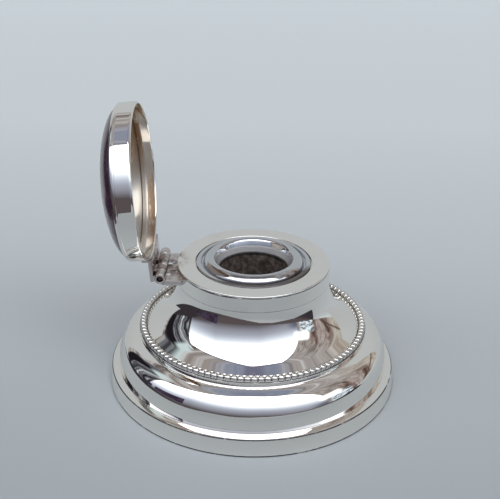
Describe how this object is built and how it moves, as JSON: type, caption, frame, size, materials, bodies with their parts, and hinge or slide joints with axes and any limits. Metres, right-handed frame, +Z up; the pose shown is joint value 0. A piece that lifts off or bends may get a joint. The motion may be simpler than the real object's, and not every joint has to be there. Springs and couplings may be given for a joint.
{
  "type": "desk inkstand",
  "caption": "Round spun-metal desk inkstand with a beaded waist, a lift-out glass well in its collar and a hinged lid set with a dark polished dome.",
  "frame": {"origin": "centre of the base on the table", "axes": "+Z up; the hinge is on the -X side with its pin along Y; the open side of the lid faces +X"},
  "size_m": [0.12, 0.12, 0.1168],
  "materials": {
    "silver": "polished silver",
    "worn_silver": "polished silver with tarnish in its corners",
    "gilt": "tarnished, once gilt",
    "clear_glass": "moulded and fire polished",
    "pitch": "dull dark pitch",
    "wood": "plain turned wood",
    "baize": "felted wool",
    "dark_dome": "polished, mottled purple-brown"
  },
  "bodies": {
    "stand": {"foot_band": "silver", "base_shell": "silver", "bead_ring": "silver", "waist_shell": "silver", "collar_drum": "silver", "collar_plate": "silver", "liner_seat": "worn_silver", "base_filling": "pitch", "base_board": "wood", "base_baize": "baize", "hinge_lug": "worn_silver", "body_knuckle_near": "worn_silver", "body_knuckle_middle": "worn_silver", "body_knuckle_far": "worn_silver", "hinge_pin": "worn_silver"},
    "well": {"glass_liner": "clear_glass"},
    "lid": {"lid_leaf": "worn_silver", "lid_knuckle_near": "worn_silver", "lid_knuckle_far": "worn_silver", "lid_band": "silver", "lid_seat_ring": "gilt", "lid_lining": "gilt", "dome_bed": "pitch", "lid_dome": "dark_dome", "dome_bezel": "silver"}
  },
  "joints": [
    {"name": "lid_hinge", "type": "hinge", "parent": "stand", "child": "lid", "pos_m": [-0.037, 0, 0.0493], "axis": [0, 1, 0], "range_deg": [0, 94.7]},
    {"name": "glass_lift", "type": "slide", "parent": "stand", "child": "well", "axis": [0, 0, 1], "range_m": [0, 0.004]}
  ]
}
